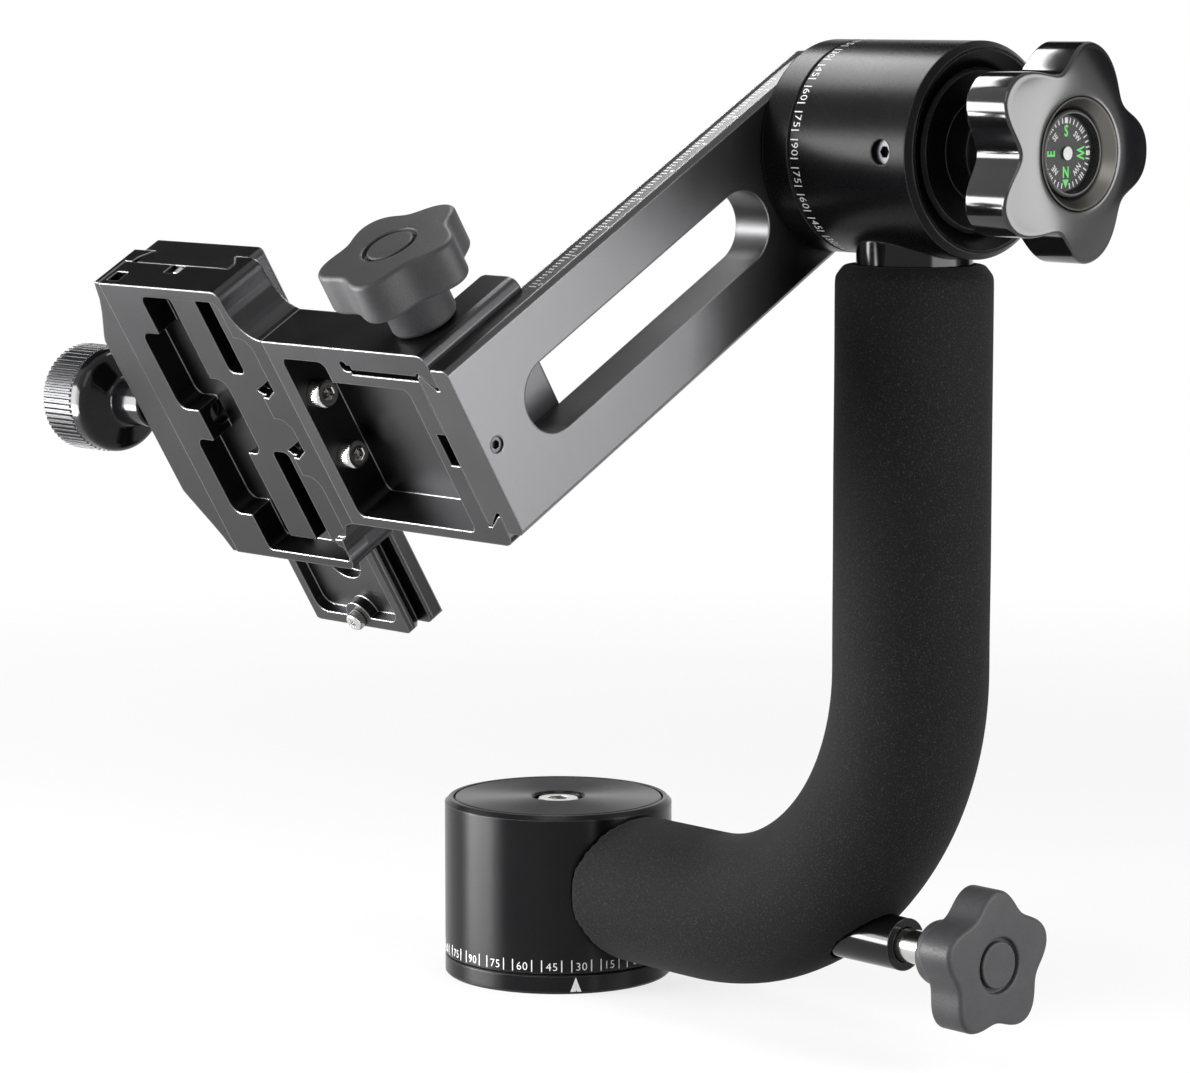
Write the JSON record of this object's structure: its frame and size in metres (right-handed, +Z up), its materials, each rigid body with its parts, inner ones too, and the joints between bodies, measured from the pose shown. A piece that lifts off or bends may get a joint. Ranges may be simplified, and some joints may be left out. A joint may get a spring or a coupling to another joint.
{
  "type": "gimbal tripod head",
  "caption": "Side-mount gimbal tripod head: panning drum, foam-covered J arm, tilt drum with compass lock knob, slotted swing arm, sliding L bracket, plate clamp and lens plate.",
  "frame": {"origin": "centre of the base ring's underside, on the pan axis and at the mouth of the tripod thread", "axes": "+Z up along the pan axis, +X from the pan axis to the upright, parallel to the tilt axis"},
  "size_m": [0.2414, 0.1696, 0.2466],
  "materials": {
    "drum_anodised": "satin black anodised",
    "arm_anodised": "bead-blasted matt black anodised",
    "foam": "closed-cell foam, matt",
    "knob_plastic": "textured dark grey",
    "gloss_black": "polished black",
    "grip_aluminium": "knurled, light grey",
    "plated_steel": "bright nickel",
    "black_steel": "black oxide",
    "machined_steel": "fine turned",
    "bearing_steel": "polished",
    "brake_nylon": "natural nylon",
    "pad_rubber": "fine ribbed",
    "bezel_metal": "satin grey-brown",
    "dial_plastic": "matt black with white marks",
    "lens_clear": "clear dome"
  },
  "bodies": {
    "base": {"base_ring": "drum_anodised", "thread_bush": "machined_steel", "spindle_flange": "machined_steel", "pan_spindle": "machined_steel", "base_screws": "black_steel", "pan_inner_races": "bearing_steel", "pan_bearing_balls": "bearing_steel", "axle_washer": "machined_steel", "axle_screw": "plated_steel"},
    "upright": {"pan_housing": "drum_anodised", "pan_outer_races": "bearing_steel", "pan_cap": "drum_anodised", "arm_core": "arm_anodised", "foam_sleeve": "foam", "tilt_housing": "drum_anodised", "arm_head_bolt": "black_steel", "drum_set_screw": "plated_steel", "tilt_outer_races": "bearing_steel", "tilt_end_cap": "drum_anodised"},
    "pan_brake": {"pan_brake_pad": "brake_nylon", "pan_push_rod": "machined_steel"},
    "pan_lock": {"pan_lock_stud": "plated_steel", "pan_lock_knob": "knob_plastic", "pan_knob_cap": "knob_plastic"},
    "tilt_brake": {"tilt_brake_pad": "brake_nylon"},
    "tilt_lock": {"tilt_lock_stud": "plated_steel", "tilt_lock_knob": "gloss_black", "compass_bezel": "bezel_metal", "compass_capsule": "dial_plastic", "compass_lens": "lens_clear"},
    "compass": {"compass_card": "dial_plastic"},
    "swing": {"tilt_ring": "drum_anodised", "tilt_shaft": "machined_steel", "tilt_inner_races": "bearing_steel", "tilt_bearing_balls": "bearing_steel", "tilt_shaft_nut": "machined_steel", "swing_arm": "arm_anodised", "arm_screws": "black_steel", "arm_stop_screw": "black_steel"},
    "platform": {"platform_bracket": "arm_anodised", "bracket_screws": "plated_steel", "clamp_body": "arm_anodised", "jaw_guide_pins": "plated_steel"},
    "platform_lock": {"platform_stud": "plated_steel", "platform_knob": "knob_plastic", "platform_knob_cap": "knob_plastic"},
    "jaw": {"clamp_jaw": "arm_anodised"},
    "clamp_screw": {"clamp_stud": "plated_steel", "clamp_knob_hub": "gloss_black", "clamp_knob_grip": "grip_aluminium"},
    "plate": {"lens_plate": "arm_anodised", "plate_stop_screws": "plated_steel", "plate_grip_pads": "pad_rubber"},
    "camera_bolt": {"camera_screw": "plated_steel"}
  },
  "joints": [
    {"name": "pan", "type": "hinge", "parent": "base", "child": "upright", "pos_m": [0, 0, 0.025], "axis": [0, 0, 1], "continuous": true},
    {"name": "pan_lock_turn", "type": "hinge", "parent": "upright", "child": "pan_lock", "pos_m": [0.13, 0, 0.0276], "axis": [-1, 0, 0], "range_deg": [0, 90]},
    {"name": "pan_brake_slide", "type": "slide", "parent": "upright", "child": "pan_brake", "axis": [-1, 0, 0], "range_m": [0, 0.00025]},
    {"name": "tilt", "type": "hinge", "parent": "upright", "child": "swing", "pos_m": [0.1, 0, 0.2207], "axis": [1, 0, 0], "continuous": true},
    {"name": "tilt_lock_turn", "type": "hinge", "parent": "upright", "child": "tilt_lock", "pos_m": [0.165, 0, 0.2207], "axis": [-1, 0, 0], "range_deg": [0, 90]},
    {"name": "tilt_brake_slide", "type": "slide", "parent": "upright", "child": "tilt_brake", "axis": [-1, 0, 0], "range_m": [0, 0.00025]},
    {"name": "compass_spin", "type": "hinge", "parent": "tilt_lock", "child": "compass", "pos_m": [0.175, 0, 0.2207], "axis": [1, 0, 0], "continuous": true},
    {"name": "platform_slide", "type": "slide", "parent": "swing", "child": "platform", "axis": [0, 0.8572, 0.515], "range_m": [0, 0.084]},
    {"name": "platform_lock_turn", "type": "hinge", "parent": "platform", "child": "platform_lock", "pos_m": [0.084, -0.1166, 0.18564], "axis": [0, -0.515, 0.8572], "range_deg": [-90, 0]},
    {"name": "clamp_knob_turn", "type": "hinge", "parent": "jaw", "child": "clamp_screw", "pos_m": [-0.031, -0.10699, 0.15548], "axis": [-1, 0, 0], "range_deg": [0, 720]},
    {"name": "jaw_slide", "type": "slide", "parent": "platform", "child": "jaw", "axis": [-1, 0, 0], "range_m": [0, 0.002]},
    {"name": "plate_slide", "type": "slide", "parent": "platform", "child": "plate", "axis": [0, 0.515, -0.8572], "range_m": [-0.028, 0]},
    {"name": "camera_bolt_slide", "type": "slide", "parent": "plate", "child": "camera_bolt", "axis": [0, 0.515, -0.8572], "range_m": [-0.028, 0.028]}
  ],
  "couplings": [
    {"joint": "pan_lock_turn", "follows": "pan_brake_slide", "rad_per_m": 6283.2},
    {"joint": "tilt_lock_turn", "follows": "tilt_brake_slide", "rad_per_m": 6283.2},
    {"joint": "clamp_knob_turn", "follows": "jaw_slide", "rad_per_m": 6283.2}
  ]
}
